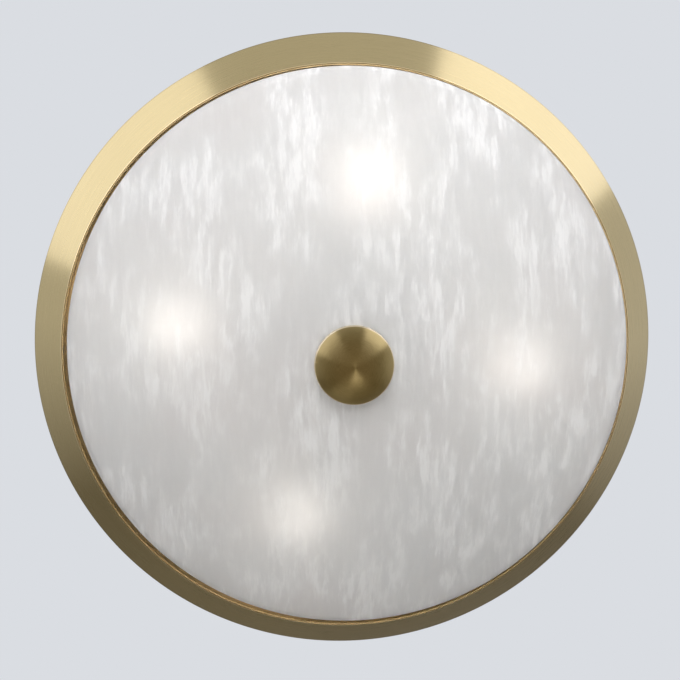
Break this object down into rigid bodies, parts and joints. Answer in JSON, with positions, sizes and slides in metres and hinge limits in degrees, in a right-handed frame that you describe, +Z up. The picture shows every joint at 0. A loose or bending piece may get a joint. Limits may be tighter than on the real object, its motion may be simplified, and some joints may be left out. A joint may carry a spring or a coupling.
{
  "type": "glass shade ceiling light",
  "caption": "Round flush ceiling light: a bowed alabaster-look glass shade in a spun brass rim, held at its middle by a rod and a domed brass knob, over lamps on a spider.",
  "frame": {"origin": "middle of the pan's back, in the plane of the ceiling, on the axis of the rod", "axes": "+Z up into the ceiling, so the light hangs in -Z; +X and +Y run along the two spacings of the four ceiling slots"},
  "size_m": [0.5, 0.5, 0.1191],
  "materials": {
    "white_lacquer": "semi-gloss lacquer on steel",
    "brushed_brass": "circular brushed, lacquered, antique tone",
    "zinc_steel": "zinc plated",
    "brass_small": "plain turned",
    "alabaster_glass": "satin, white streaked, alabaster look",
    "lamp_glass": "opal",
    "lamp_cap_metal": "plain",
    "holder_plastic": "moulded",
    "block_plastic": "natural polyamide",
    "rubber": "soft",
    "lead_insulation": "silicone sleeve"
  },
  "bodies": {
    "base": {"pan": "white_lacquer", "brass_rim": "brushed_brass", "rim_screws": "zinc_steel", "rim_nuts": "zinc_steel", "middle_rod": "zinc_steel", "rod_top_nut": "zinc_steel", "rod_lock_washer": "zinc_steel", "rod_lock_nut": "zinc_steel", "stop_nut": "zinc_steel", "stop_washer": "zinc_steel", "stop_pad": "rubber", "lamp_spider": "zinc_steel", "holder_nuts": "zinc_steel", "terminal_block": "block_plastic", "terminal_screws": "brass_small", "block_fixing_screw": "zinc_steel", "earth_screw": "brass_small", "earth_washer": "brass_small", "cable_bush": "rubber", "pillars": "zinc_steel", "pillar_screws": "zinc_steel", "gallery_ring": "white_lacquer", "lamp_leads": "lead_insulation", "lampholder_1": "holder_plastic", "lampholder_2": "holder_plastic", "lampholder_3": "holder_plastic", "lampholder_4": "holder_plastic", "screw_shell_1": "brass_small", "screw_shell_2": "brass_small", "screw_shell_3": "brass_small", "screw_shell_4": "brass_small"},
    "shade": {"glass_shade": "alabaster_glass"},
    "knob_pad": {"knob_pad": "rubber"},
    "knob": {"knob": "brushed_brass"},
    "lamp_1": {"lamp_cap_1": "lamp_cap_metal", "lamp_globe_1": "lamp_glass"},
    "lamp_2": {"lamp_cap_2": "lamp_cap_metal", "lamp_globe_2": "lamp_glass"},
    "lamp_3": {"lamp_cap_3": "lamp_cap_metal", "lamp_globe_3": "lamp_glass"},
    "lamp_4": {"lamp_cap_4": "lamp_cap_metal", "lamp_globe_4": "lamp_glass"}
  },
  "joints": [
    {"name": "shade_lower", "type": "slide", "parent": "base", "child": "shade", "axis": [0, 0, -1], "range_m": [0, 0.12]},
    {"name": "knob_unscrew", "type": "slide", "parent": "shade", "child": "knob_pad", "axis": [0, 0, -1], "range_m": [0, 0.0098]},
    {"name": "knob_turn", "type": "hinge", "parent": "knob_pad", "child": "knob", "pos_m": [0, 0, -0.11], "axis": [0, 0, -1], "range_deg": [0, 3510]},
    {"name": "lamp_1_unscrew", "type": "slide", "parent": "base", "child": "lamp_1", "axis": [0.9962, 0.0872, 0], "range_m": [0, 0.025]},
    {"name": "lamp_2_unscrew", "type": "slide", "parent": "base", "child": "lamp_2", "axis": [-0.2924, 0.9563, 0], "range_m": [0, 0.025]},
    {"name": "lamp_3_unscrew", "type": "slide", "parent": "base", "child": "lamp_3", "axis": [-0.9877, -0.1564, 0], "range_m": [0, 0.025]},
    {"name": "lamp_4_unscrew", "type": "slide", "parent": "base", "child": "lamp_4", "axis": [0.1219, -0.9925, 0], "range_m": [0, 0.025]}
  ],
  "couplings": [
    {"joint": "knob_unscrew", "follows": "knob_turn", "m_per_rad": 0.00015915}
  ]
}
